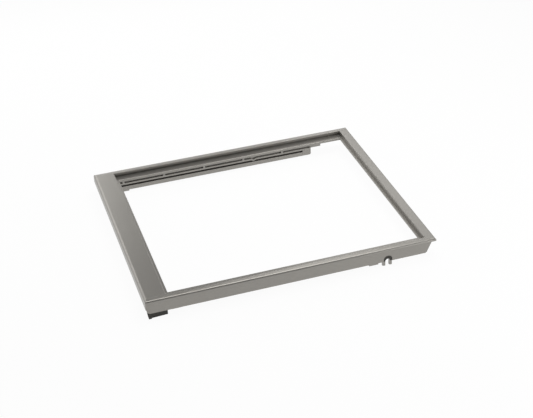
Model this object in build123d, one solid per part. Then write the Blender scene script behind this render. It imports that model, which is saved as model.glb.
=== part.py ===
"""Crisper drawer cover: the moulded frame that carries a shelf glass above a fridge's vegetable drawer.

Millimetres. X runs from the front rail (-X) to the rear rail (+X), Y across, +Z up.
The origin is on the resting plane under the centre of the frame.
"""
import os

from build123d import *

# Overall size
LENGTH = 430.0            # front face of the nosing to the rear edge
WIDTH = 359.0             # across the outer edges of the side rails
TOP_HEIGHT = 30.0         # resting plane to the land's outer edges, where all depths start

# Top plate, the land round the glass
PLATE = 3.0               # thickness of the land at its edges
CROWN = 0.7               # rise of the side and rear lands from their edges towards the glass
LEVEL = 2.2               # level margin beside the glass recess
FRONT_LAND = 31.2         # front face to the glass recess
REAR_LAND = 15.2          # glass recess to the rear edge
SIDE_LAND = 9.8           # side edge to the glass recess
EDGE_ROUND = 3.0          # rounding along the side and rear edges
REAR_CORNER = 2.0         # plan radius of the two rear corners
RECESS_ROUND = 0.8        # rounding of the land's inner edge

# Front nosing
NOSE_ROUND = 4.0          # rounding of the nosing
NOSE_DEPTH = 13.0         # top face to the nosing's lower edge
NOSE_WALL = 2.4
NOSE_RIBS = 5             # stiffening ribs behind the nosing
RIB_WALL = 1.8
RIB_DEPTH = 10.0          # top face to the ribs' lower edge

# Glass seat
GLASS_DEPTH = 6.2         # depth of the ledge
GROOVE = 2.5              # groove at the foot of the side walls
GROOVE_HEIGHT = 2.8
RISER = 2.2               # wall between land and ledge
LEDGE = 2.2               # thickness of the ledge
FRONT_LEDGE = 5.0         # width of the ledge in front, behind and at the sides
REAR_LEDGE = 4.4
SIDE_LEDGE = 12.2
LIP_DEPTH = 9.6           # top face to the lower edge of the side ledges' lip
LIP_WALL = 2.0
LIP_ROUND = 1.2           # rounding of the lip's upper edge

# Side skirts
SKIRT_INSET = 0.7         # the land's edge stands proud of the skirt
SKIRT_WALL = 2.2
SKIRT_DEPTH = 20.5        # top face to the skirt's lower edge
SKIRT_FRONT = 1.2         # front face to the skirt's front end
SKIRT_NOSE = 5.7          # radius of the skirt's lower front corner
SKIRT_REAR_LOW = 15.5     # rear edge to the skirt's lower rear corner
SKIRT_REAR_HIGH = 7.5     # rear edge to the skirt's upper rear corner
SKIRT_HEEL = 4.0          # radius of the lower rear corner

# Drawer channel under each side ledge
WEB_SETBACK = 2.6         # the web stands back from the ledge's lip
WEB_WALL = 2.0
WEB_FRONT = 10.0          # front face to the front end of web and channel
WEB_REAR = 52.8           # rear edge to the rear end of the web
WEB_LAP = 1.8             # the web's lower edge reaches below the channel's top
POST = 3.0                # posts across the web, flush with the lip
POST_FIRST = 43.0         # front face to the first post
POST_PITCH = 66.5
CHANNEL_REAR = 70.8       # rear edge to the rear end of the channel
CHANNEL_TOP = 13.2        # top face to the channel's upper flange
UPPER_FLANGE = 2.8        # thickness of the upper flange
CHANNEL_GAP = 3.2         # clear height between the flanges
CHANNEL_REACH = 11.8      # lip's face to the back of the channel
CHANNEL_WALL = 2.2
REAR_STOP = 14.0          # length of the block that closes the channel's rear end
RAIL_DEPTH = 26.0         # top face to the lower edge of the rail below the channel
RAIL_WALL = 2.0
RAIL_ROUND = 2.5          # rounding of the rail's lower rear corner
STOP_FRONT = 38.0         # front face to the front block of the rail
STOP_LENGTH = 13.0
STOP_DROP = 2.0           # the block hangs below the rail
DETENT = 260.0            # front face to the V-shaped detent in the upper flange
DETENT_HALF = 4.0         # half its width
DETENT_DROP = 2.0

# Rear forks under the skirts, with a dark pad in the arch above each
FORK_REAR = 75.3          # rear edge to the centre of the fork
FORK_GAP = 7.5            # clear width between the prongs
FORK_TOP = 16.6           # top face to the round top of that gap
FORK_WALL = 5.1           # thickness of the plate behind the skirt
FORK_MARGIN = 3.0         # the plate reaches past the sides of the arch
PRONG = 2.6               # width of a prong
PRONG_LEAD = 2.5          # height of the bevel that leads the prongs in
PRONG_SOLE = 2.5          # depth of the flat sole behind the bevel
ARCH_SIDE = 0.3           # the arch is wider than the prongs by this on either side
ARCH_DEPTH = 10.9         # top face to the top of the arch
PAD_INSET = 1.3           # side edge to the outer face of pad and prongs
TAB_FRONT = 28.7          # front end of the tab on the skirt's edge to the centre of the fork
TAB_LENGTH = 14.0
TAB_DROP = 1.9

# Front feet, dark
FOOT_FRONT = 2.4          # front face to the foot
FOOT_LENGTH = 28.1
FOOT_INSET = 1.5          # side edge to the foot's outer face
FOOT_RAKE = 1.2           # the front end leans back
FOOT_FLAT = 3.5           # flat that rests on the shelf rail
FOOT_STEP = 1.2           # bevelled step behind the flat
FOOT_RISE = 2.2           # height of the sole at the rear end
FOOT_WALL = 5.0           # thickness of the leg behind the skirt
FOOT_LEG_TOP = 14.0       # top face to the upper end of the leg

FIT = 0.1                 # clearance between the skirt and the dark pieces behind and inside it
OVERLAP = 0.5             # how far joined features run into each other


def behind(distance):
    """X of a point at a distance behind the front face."""
    return distance - LENGTH / 2


def ahead(distance):
    """X of a point at a distance ahead of the rear edge."""
    return LENGTH / 2 - distance


def inset(distance):
    """Y of a point inside the edge of the right-hand side rail."""
    return distance - WIDTH / 2


def below(depth):
    """Z of a point below the top face."""
    return TOP_HEIGHT - depth


def across(profile, y_low, y_high):
    """Extrude an XZ profile between two Y values."""
    return extrude(Plane.XZ.offset(-y_high) * profile, y_high - y_low, dir=(0, -1, 0))


def along(profile, x_low, x_high):
    """Extrude a YZ profile between two X values."""
    return extrude(Plane.YZ.offset(x_low) * profile, x_high - x_low, dir=(1, 0, 0))


def window(x_low, x_high, side):
    """Plan rectangle between two X values, inset equally at both sides."""
    centre = Pos((x_low + x_high) / 2, 0)
    return centre * Rectangle(x_high - x_low, WIDTH - 2 * side)


def upright(plan, depth_high, depth_low):
    """Extrude a plan between two depths below the top face."""
    return extrude(Plane.XY.offset(below(depth_low)) * plan, depth_low - depth_high, dir=(0, 0, 1))


def outline(*points):
    """Face inside a closed line of points."""
    return Polygon(*points, align=None)


def both_sides(piece):
    """A right-hand feature and its mirror image."""
    return piece + mirror(piece, about=Plane.XZ)


# Places that several features share
recess_front = behind(FRONT_LAND)
recess_rear = ahead(REAR_LAND)
groove_back = SIDE_LAND - GROOVE
ledge_edge = SIDE_LAND + SIDE_LEDGE
ledge_under = GLASS_DEPTH + LEDGE
skirt_inner = SKIRT_INSET + SKIRT_WALL
web_face = ledge_edge - WEB_SETBACK
web_back = web_face - WEB_WALL
channel_back = ledge_edge - CHANNEL_REACH
gap_top = CHANNEL_TOP + UPPER_FLANGE
gap_low = gap_top + CHANNEL_GAP
arch_width = FORK_GAP + 2 * (PRONG + ARCH_SIDE)
fork_x = ahead(FORK_REAR)
fork_back = skirt_inner + FORK_WALL
leg_face = inset(skirt_inner + FIT)


def top_plate():
    """Land and nosing: two crowned profiles that meet in mitres at the rear, hollowed from below."""
    front, rear, side = behind(0), ahead(0), inset(0)
    foot, edge, crown = below(NOSE_DEPTH), below(0), below(-CROWN)
    lengthwise = outline(
        (front, foot),
        (front, crown),
        (recess_rear + LEVEL, crown),
        (rear, edge),
        (rear, foot),
    )
    lengthwise = fillet(lengthwise.vertices().sort_by_distance((front, crown))[0], NOSE_ROUND)
    lengthwise = fillet(lengthwise.vertices().sort_by_distance((rear, edge))[0], EDGE_ROUND)
    level_side = inset(SIDE_LAND - LEVEL)
    crosswise = outline(
        (side, foot),
        (side, edge),
        (level_side, crown),
        (-level_side, crown),
        (-side, edge),
        (-side, foot),
    )
    crosswise = fillet(crosswise.vertices().sort_by_distance((side, edge))[0], EDGE_ROUND)
    crosswise = fillet(crosswise.vertices().sort_by_distance((-side, edge))[0], EDGE_ROUND)
    long_block = across(lengthwise, side - OVERLAP, -side + OVERLAP)
    plate = long_block & along(crosswise, front - OVERLAP, rear + OVERLAP)
    corner = Pos(rear, side) * Rectangle(2 * REAR_CORNER, 2 * REAR_CORNER)
    corner -= Pos(rear - REAR_CORNER, side + REAR_CORNER) * Circle(REAR_CORNER)
    plate -= both_sides(upright(corner, -CROWN, NOSE_DEPTH + OVERLAP))
    hollow = window(front + NOSE_WALL, rear + OVERLAP, -OVERLAP)
    plate -= upright(hollow, PLATE, NOSE_DEPTH + OVERLAP)
    recess = window(recess_front, recess_rear, SIDE_LAND)
    plate -= upright(recess, -CROWN - OVERLAP, NOSE_DEPTH)
    margin = plate.faces().sort_by(Axis.Z)[-1]
    return fillet(margin.inner_wires()[0].edges(), RECESS_ROUND)


def glass_seat():
    """Wall and ledge round the recess, with a lip along the inner edge of the side ledges."""
    outer = window(recess_front - RISER, recess_rear + RISER, groove_back - RISER)
    recess = window(recess_front, recess_rear, SIDE_LAND)
    lip_back = ledge_edge - LIP_WALL
    clear = window(recess_front + FRONT_LEDGE, recess_rear - REAR_LEDGE, lip_back)
    seat = upright(outer - recess, PLATE, ledge_under) + upright(outer - clear, GLASS_DEPTH, ledge_under)
    groove = window(recess_front, recess_rear, groove_back)
    seat -= upright(groove, GLASS_DEPTH - GROOVE_HEIGHT, GLASS_DEPTH)
    lip = outline(
        (inset(ledge_edge), below(GLASS_DEPTH)),
        (inset(ledge_edge), below(LIP_DEPTH)),
        (inset(lip_back), below(LIP_DEPTH)),
        (inset(lip_back), below(GLASS_DEPTH)),
    )
    lip = fillet(lip.vertices().group_by(Axis.Y)[-1].sort_by(Axis.X)[-1], LIP_ROUND)
    return seat + both_sides(along(lip, recess_front - RISER, recess_rear + RISER))


def nosing_ribs():
    """Plain ribs between the nosing and the riser behind it."""
    rib = outline(
        (behind(NOSE_WALL - OVERLAP), below(PLATE - OVERLAP)),
        (recess_front - RISER + OVERLAP, below(PLATE - OVERLAP)),
        (recess_front - RISER + OVERLAP, below(ledge_under)),
        (behind(NOSE_WALL - OVERLAP), below(RIB_DEPTH)),
    )
    pitch = (WIDTH - 2 * ledge_edge) / (NOSE_RIBS - 1)
    places = [inset(ledge_edge) + i * pitch for i in range(NOSE_RIBS)]
    return Part() + [across(rib, y - RIB_WALL / 2, y + RIB_WALL / 2) for y in places]


def arch(width, top):
    """Round-topped gap on the centre line of the fork, open at the skirt's edge."""
    radius = width / 2
    centre = below(top + radius)
    gap = outline(
        (fork_x - radius, centre),
        (fork_x - radius, below(SKIRT_DEPTH + OVERLAP)),
        (fork_x + radius, below(SKIRT_DEPTH + OVERLAP)),
        (fork_x + radius, centre),
    )
    return gap + Pos(fork_x, centre) * Circle(radius)


def skirt():
    """Right-hand skirt with a low tab on its edge, a plate behind it, and an arch cut into both."""
    sheet = outline(
        (behind(SKIRT_FRONT), below(PLATE - OVERLAP)),
        (behind(SKIRT_FRONT), below(SKIRT_DEPTH)),
        (ahead(SKIRT_REAR_LOW), below(SKIRT_DEPTH)),
        (ahead(SKIRT_REAR_HIGH), below(PLATE - OVERLAP)),
    )
    low = sheet.vertices().group_by(Axis.Y)[0].sort_by(Axis.X)
    sheet = fillet(low[0], SKIRT_NOSE)
    low = sheet.vertices().group_by(Axis.Y)[0].sort_by(Axis.X)
    sheet = fillet(low[-1], SKIRT_HEEL)
    tab_front = fork_x - TAB_FRONT
    sheet += outline(
        (tab_front, below(SKIRT_DEPTH - OVERLAP)),
        (tab_front, below(SKIRT_DEPTH + TAB_DROP)),
        (tab_front + TAB_LENGTH, below(SKIRT_DEPTH + TAB_DROP)),
        (tab_front + TAB_LENGTH, below(SKIRT_DEPTH - OVERLAP)),
    )
    half = arch_width / 2 + FORK_MARGIN
    plate = outline(
        (fork_x - half, below(ledge_under - OVERLAP)),
        (fork_x - half, below(SKIRT_DEPTH)),
        (fork_x + half, below(SKIRT_DEPTH)),
        (fork_x + half, below(ledge_under - OVERLAP)),
    )
    wall = across(sheet, inset(SKIRT_INSET), inset(skirt_inner))
    wall += across(plate, inset(skirt_inner - OVERLAP), inset(fork_back))
    wall -= across(arch(arch_width, ARCH_DEPTH), inset(SKIRT_INSET - OVERLAP), inset(skirt_inner))
    return wall - across(arch(FORK_GAP, FORK_TOP), inset(SKIRT_INSET), inset(fork_back + OVERLAP))


def prongs():
    """The two prongs of the right-hand fork, bevelled so that they lead onto a stud."""
    profile = outline(
        (inset(PAD_INSET), below(SKIRT_DEPTH)),
        (inset(PAD_INSET), PRONG_LEAD),
        (inset(fork_back - PRONG_SOLE), 0),
        (inset(fork_back), 0),
        (inset(fork_back), below(SKIRT_DEPTH - OVERLAP)),
        (inset(skirt_inner), below(SKIRT_DEPTH - OVERLAP)),
        (inset(skirt_inner), below(SKIRT_DEPTH)),
    )
    reach = FORK_GAP / 2 + PRONG
    front = along(profile, fork_x - reach, fork_x - FORK_GAP / 2)
    rear = along(profile, fork_x + FORK_GAP / 2, fork_x + reach)
    return front + rear


def drawer_channel():
    """Right-hand web with its posts, and the channel that the drawer's rim slides in."""
    web = outline(
        (inset(web_back), below(ledge_under - OVERLAP)),
        (inset(web_back), below(CHANNEL_TOP + WEB_LAP)),
        (inset(web_face), below(CHANNEL_TOP + WEB_LAP)),
        (inset(web_face), below(ledge_under - OVERLAP)),
    )
    channel = outline(
        (inset(ledge_edge), below(CHANNEL_TOP)),
        (inset(ledge_edge), below(gap_top)),
        (inset(channel_back + CHANNEL_WALL), below(gap_top)),
        (inset(channel_back + CHANNEL_WALL), below(gap_low)),
        (inset(ledge_edge), below(gap_low)),
        (inset(ledge_edge), below(RAIL_DEPTH)),
        (inset(ledge_edge - RAIL_WALL), below(RAIL_DEPTH)),
        (inset(ledge_edge - RAIL_WALL), below(gap_low + CHANNEL_WALL)),
        (inset(channel_back), below(gap_low + CHANNEL_WALL)),
        (inset(channel_back), below(CHANNEL_TOP)),
    )
    rail = along(channel, behind(WEB_FRONT), ahead(CHANNEL_REAR))
    heel = rail.edges().filter_by(Axis.Y).group_by(Axis.Z)[0].sort_by(Axis.X)[-1]
    rail = fillet(heel, RAIL_ROUND)
    block = outline(
        (inset(ledge_edge), below(gap_low)),
        (inset(ledge_edge), below(RAIL_DEPTH + STOP_DROP)),
        (inset(channel_back), below(RAIL_DEPTH + STOP_DROP)),
        (inset(channel_back), below(gap_low)),
    )
    rail += along(block, behind(STOP_FRONT), behind(STOP_FRONT + STOP_LENGTH))
    plug = outline(
        (inset(channel_back + OVERLAP), below(gap_top - OVERLAP)),
        (inset(channel_back + OVERLAP), below(gap_low + OVERLAP)),
        (inset(ledge_edge), below(gap_low + OVERLAP)),
        (inset(ledge_edge), below(gap_top - OVERLAP)),
    )
    rail += along(plug, ahead(CHANNEL_REAR + REAR_STOP), ahead(CHANNEL_REAR))
    post = outline(
        (inset(web_face - OVERLAP), below(LIP_DEPTH - OVERLAP)),
        (inset(web_face - OVERLAP), below(CHANNEL_TOP + OVERLAP)),
        (inset(ledge_edge), below(CHANNEL_TOP + OVERLAP)),
        (inset(ledge_edge), below(LIP_DEPTH - OVERLAP)),
    )
    count = int((LENGTH - CHANNEL_REAR - POST_FIRST) // POST_PITCH) + 1
    starts = [behind(POST_FIRST + i * POST_PITCH) - POST / 2 for i in range(count)]
    posts = [along(post, x, x + POST) for x in starts]
    return detent(rail) + along(web, behind(WEB_FRONT), ahead(WEB_REAR)) + posts


def detent(rail):
    """Dip the channel's upper flange in a V that the drawer's rim clicks past."""
    centre = behind(DETENT)

    def vee(depth):
        return outline(
            (centre - DETENT_HALF, below(depth)),
            (centre, below(depth + DETENT_DROP)),
            (centre + DETENT_HALF, below(depth)),
        )

    inner, outer = inset(web_face), inset(ledge_edge)
    return rail - across(vee(CHANNEL_TOP), inner, outer) + across(vee(gap_top), inner, outer)


def cover_frame():
    """The whole moulding."""
    sides = both_sides(skirt() + prongs()) + both_sides(drawer_channel())
    return top_plate() + glass_seat() + nosing_ribs() + sides


def rear_glide():
    """Right-hand glide: a pad in the skirt's arch that a stud between the prongs bears on."""
    pad = arch(arch_width - 2 * FIT, ARCH_DEPTH + FIT) - arch(FORK_GAP, FORK_TOP)
    above_prongs = outline(
        (fork_x - arch_width, below(ARCH_DEPTH)),
        (fork_x - arch_width, below(SKIRT_DEPTH)),
        (fork_x + arch_width, below(SKIRT_DEPTH)),
        (fork_x + arch_width, below(ARCH_DEPTH)),
    )
    return across(pad & above_prongs, inset(PAD_INSET), inset(skirt_inner))


def front_foot():
    """Right-hand foot: a sole under the skirt's front end with a leg behind the skirt."""
    front, rear = behind(FOOT_FRONT), behind(FOOT_FRONT + FOOT_LENGTH)
    heel = front + FOOT_RAKE + FOOT_FLAT
    sole = outline(
        (front, below(SKIRT_DEPTH)),
        (front + FOOT_RAKE, 0),
        (heel, 0),
        (heel + FOOT_STEP, FOOT_STEP),
        (rear, FOOT_RISE),
        (rear, below(SKIRT_DEPTH)),
    )
    leg = outline(
        (front, below(SKIRT_DEPTH)),
        (rear, below(SKIRT_DEPTH)),
        (rear, below(FOOT_LEG_TOP)),
        (front, below(FOOT_LEG_TOP)),
    )
    back = leg_face + FOOT_WALL
    return across(sole, inset(FOOT_INSET), back) + across(leg, leg_face, back)


glide = rear_glide()
foot = front_foot()
nodes = {
    "cover_frame": cover_frame(),
    "rear_glide_right": glide,
    "rear_glide_left": mirror(glide, about=Plane.XZ),
    "front_foot_right": foot,
    "front_foot_left": mirror(foot, about=Plane.XZ),
}

os.makedirs("parts", exist_ok=True)
for name, solid in nodes.items():
    export_step(solid, f"parts/{name}.step")
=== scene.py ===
"""Crisper drawer cover: finishes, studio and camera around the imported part. Metres, +Z up."""
import math

import bmesh
import bpy
from mathutils import Matrix, Vector

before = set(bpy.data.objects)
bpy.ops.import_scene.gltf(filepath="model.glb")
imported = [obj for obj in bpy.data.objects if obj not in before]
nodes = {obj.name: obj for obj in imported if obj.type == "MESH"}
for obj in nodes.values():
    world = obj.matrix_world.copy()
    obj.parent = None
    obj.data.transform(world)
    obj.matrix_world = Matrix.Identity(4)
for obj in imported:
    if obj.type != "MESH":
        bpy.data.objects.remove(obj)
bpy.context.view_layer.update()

MM = 0.001

# The photograph's frame and camera
IMAGE_WIDTH = 533
FOCAL_PIXELS = 1181.1
SENSOR = 36.0
CAMERA_AT = Vector((-0.4238, -1.4477, 0.9882))
LOOK_AT = Vector((0.0107, -0.0167, 0.0308))
ROLL = math.radians(-2.26)

# Studio, in metres
LAMP_AIM = Vector((0.03, 0, 0.02))
SWEEP_REACH = 8.0         # from the middle to each edge
SWEEP_RISE = 2.2          # height of the turned-up edges
SWEEP_GAP = 0.0002        # the sweep lies this far below the resting plane

# Studio, as shares of white
SWEEP_GLOW = 0.95         # plain white in what is seen of the sweep; the rest takes light and shadow
WALL_GLOW = 0.1           # even light from the walls round the lamps

# Colours as sRGB hex
GREY_ABS = "95928D"
GREY_ABS_PALE = "999690"
# Black and dust of the front feet; on the rear glides the same dark is painted shade in the arches
BLACK_FOOT_AND_ARCH_SHADE = "2E2C29"
DUSTY_FOOT_AND_ARCH_SHADE = "42403B"
FLOOR_WHITE = "F6F6F5"

# Sizes of the finishes, in millimetres
SPARK_GRAIN = 1.6         # spark-eroded texture, 0.1 on the real part, drawn coarser for the render
SPARK_RELIEF = 0.03       # height of that texture
FLOW_CLOUD = 70.0         # slow change of shade where the melt flowed
FOOT_GRAIN = 1.2          # finer on the real part, drawn coarser for the render
FOOT_RELIEF = 0.1         # height of that grain


def linear(hex_colour):
    """Linear RGBA of an sRGB hex colour."""
    channels = [int(hex_colour[i:i + 2], 16) / 255 for i in (0, 2, 4)]
    straight = [c / 12.92 if c <= 0.04045 else ((c + 0.055) / 1.055) ** 2.4 for c in channels]
    return (*straight, 1.0)


def per_metre(size_mm):
    """Texture scale that gives a pattern of a real size on Object coordinates in metres."""
    return 1 / (size_mm * MM)


def add(tree, kind, links=None, **settings):
    """Add a node; settings name its sockets or properties, links name or number its sockets."""
    node = tree.nodes.new(kind)
    for name, value in settings.items():
        if name in node.bl_rna.properties:
            setattr(node, name, value)
        else:
            node.inputs[name.replace("_", " ")].default_value = value
    for socket, source in (links or {}).items():
        tree.links.new(source, node.inputs[socket])
    return node


def new_material(name):
    """Empty node material with its output node."""
    material = bpy.data.materials.new(name)
    material.use_nodes = True
    tree = material.node_tree
    tree.nodes.clear()
    return material, tree, add(tree, "ShaderNodeOutputMaterial")


def moulded_abs():
    """Silver-grey ABS with fine metal flake, moulded: satin, with a sheen that follows the light."""
    material, tree, output = new_material("moulded ABS with metal flake, satin silver grey")
    place = add(tree, "ShaderNodeTexCoord").outputs["Object"]
    # The flake lies a little differently where the melt flowed, so the shade drifts
    cloud = add(tree, "ShaderNodeTexNoise", {"Vector": place}, Scale=per_metre(FLOW_CLOUD), Detail=3.0)
    shade = add(tree, "ShaderNodeMix", {"Factor": cloud.outputs["Fac"]}, data_type="RGBA")
    shade.inputs["A"].default_value = linear(GREY_ABS)
    shade.inputs["B"].default_value = linear(GREY_ABS_PALE)
    # The grain breaks the reflections up and leaves the face satin
    grain = add(tree, "ShaderNodeTexNoise", {"Vector": place}, Scale=per_metre(SPARK_GRAIN), Detail=2.0)
    rough = add(tree, "ShaderNodeMapRange", {"Value": grain.outputs["Fac"]}, To_Min=0.29, To_Max=0.35)
    bump = add(tree, "ShaderNodeBump", {"Height": grain.outputs["Fac"]},
               Strength=0.5, Distance=SPARK_RELIEF * MM)
    links = {
        "Base Color": shade.outputs["Result"],
        "Roughness": rough.outputs["Result"],
        "Normal": bump.outputs["Normal"],
    }
    surface = add(tree, "ShaderNodeBsdfPrincipled", links, Metallic=0.65, IOR=1.54)
    tree.links.new(surface.outputs["BSDF"], output.inputs["Surface"])
    return material


def dark_elastomer_and_arch_shade():
    """Dark thermoplastic elastomer, moulded: dull, with a faint dusty bloom; on the rear glides its
    dark is painted shade in the arches.
    """
    material, tree, output = new_material("moulded elastomer, dull black, with painted arch shade")
    place = add(tree, "ShaderNodeTexCoord").outputs["Object"]
    grain = add(tree, "ShaderNodeTexNoise", {"Vector": place}, Scale=per_metre(FOOT_GRAIN), Detail=4.0)
    shade = add(tree, "ShaderNodeMix", {"Factor": grain.outputs["Fac"]}, data_type="RGBA")
    shade.inputs["A"].default_value = linear(BLACK_FOOT_AND_ARCH_SHADE)
    shade.inputs["B"].default_value = linear(DUSTY_FOOT_AND_ARCH_SHADE)
    rough = add(tree, "ShaderNodeMapRange", {"Value": grain.outputs["Fac"]}, To_Min=0.55, To_Max=0.75)
    bump = add(tree, "ShaderNodeBump", {"Height": grain.outputs["Fac"]},
               Strength=0.12, Distance=FOOT_RELIEF * MM)
    links = {
        "Base Color": shade.outputs["Result"],
        "Roughness": rough.outputs["Result"],
        "Normal": bump.outputs["Normal"],
    }
    surface = add(tree, "ShaderNodeBsdfPrincipled", links, IOR=1.50)
    tree.links.new(surface.outputs["BSDF"], output.inputs["Surface"])
    return material


def seen_directly(tree):
    """1 for rays from the camera, a reflection or a clear piece, 0 for the light on the object."""
    path = add(tree, "ShaderNodeLightPath").outputs
    links = {0: path["Is Glossy Ray"], 1: path["Is Transmission Ray"]}
    shiny = add(tree, "ShaderNodeMath", links, operation="MAXIMUM")
    links = {0: path["Is Camera Ray"], 1: shiny.outputs[0]}
    return add(tree, "ShaderNodeMath", links, operation="MAXIMUM").outputs[0]


def studio_floor():
    """White sweep, turned up at its far edges, that keeps a faint shadow."""
    material, tree, output = new_material("studio sweep, matt white")
    paper = add(tree, "ShaderNodeBsdfDiffuse", Color=linear(FLOOR_WHITE))
    glow = add(tree, "ShaderNodeEmission", Color=(1, 1, 1, 1), Strength=1.0)
    share = add(tree, "ShaderNodeMath", {0: seen_directly(tree)}, operation="MULTIPLY")
    share.inputs[1].default_value = SWEEP_GLOW
    links = {0: share.outputs[0], 1: paper.outputs[0], 2: glow.outputs[0]}
    mix = add(tree, "ShaderNodeMixShader", links)
    tree.links.new(mix.outputs[0], output.inputs["Surface"])
    mesh = bpy.data.meshes.new("floor")
    shape = bmesh.new()
    bmesh.ops.create_grid(shape, x_segments=1, y_segments=1, size=SWEEP_REACH)
    bmesh.ops.translate(shape, verts=shape.verts, vec=(0, 0, -SWEEP_GAP))
    turned_up = bmesh.ops.extrude_edge_only(shape, edges=shape.edges[:])
    rim = [part for part in turned_up["geom"] if isinstance(part, bmesh.types.BMVert)]
    bmesh.ops.translate(shape, verts=rim, vec=(0, 0, SWEEP_RISE))
    shape.to_mesh(mesh)
    shape.free()
    floor = bpy.data.objects.new("floor", mesh)
    bpy.context.scene.collection.objects.link(floor)
    floor.data.materials.append(material)


def studio_world():
    """Weak even light from the white walls round the lamps."""
    world = bpy.data.worlds.new("studio")
    bpy.context.scene.world = world
    world.use_nodes = True
    tree = world.node_tree
    tree.nodes.clear()
    sky = add(tree, "ShaderNodeBackground", Color=(1, 1, 1, 1), Strength=WALL_GLOW)
    output = add(tree, "ShaderNodeOutputWorld")
    tree.links.new(sky.outputs[0], output.inputs["Surface"])


def softbox(name, at, size, power):
    """Soft rectangular lamp at a place, turned towards the cover."""
    lamp = bpy.data.lights.new(name, "AREA")
    lamp.shape = "RECTANGLE"
    lamp.size, lamp.size_y = size
    lamp.energy = power
    holder = bpy.data.objects.new(name, lamp)
    bpy.context.scene.collection.objects.link(holder)
    turn = (LAMP_AIM - Vector(at)).to_track_quat("-Z", "Y").to_matrix().to_4x4()
    holder.matrix_world = Matrix.Translation(at) @ turn
    holder.visible_camera = False


def photo_camera():
    """Camera where the photograph was taken from."""
    lens = bpy.data.cameras.new("photo camera")
    lens.sensor_width = SENSOR
    lens.lens = SENSOR * FOCAL_PIXELS / IMAGE_WIDTH
    camera = bpy.data.objects.new("photo camera", lens)
    bpy.context.scene.collection.objects.link(camera)
    turn = (LOOK_AT - CAMERA_AT).to_track_quat("-Z", "Y").to_matrix().to_4x4()
    camera.matrix_world = Matrix.Translation(CAMERA_AT) @ turn @ Matrix.Rotation(ROLL, 4, "Z")
    bpy.context.scene.camera = camera


def dress(node, material):
    """Give a CAD node its finish."""
    node.data.materials.clear()
    node.data.materials.append(material)


abs_grey = moulded_abs()
dark_finish_and_arch_shade = dark_elastomer_and_arch_shade()
dress(nodes["cover_frame"], abs_grey)
for side in ("right", "left"):
    dress(nodes["front_foot_" + side], dark_finish_and_arch_shade)
    # Painted shade: the rear glides wear the dark elastomer so that the arches above them look shadowed
    dress(nodes["rear_glide_" + side], dark_finish_and_arch_shade)

studio_floor()
studio_world()
softbox("top box", at=(0.15, 0.00, 1.10), size=(0.9, 0.8), power=6.0)
softbox("rear top box", at=(0.35, 0.30, 0.90), size=(0.6, 0.5), power=1.7)
softbox("rear corner box", at=(0.55, 0.70, 0.50), size=(0.5, 0.4), power=0.8)
softbox("back card", at=(0.10, 0.85, 0.30), size=(0.7, 0.35), power=0.55)
softbox("left back box", at=(-0.46, 0.86, 0.52), size=(0.8, 0.6), power=2.6)
softbox("left card", at=(-2.0, 0.4, 0.7), size=(2.2, 1.2), power=11.0)
softbox("right card", at=(0.62, -0.46, 0.24), size=(0.8, 0.45), power=2.0)
photo_camera()
bpy.context.scene.view_settings.view_transform = "Standard"
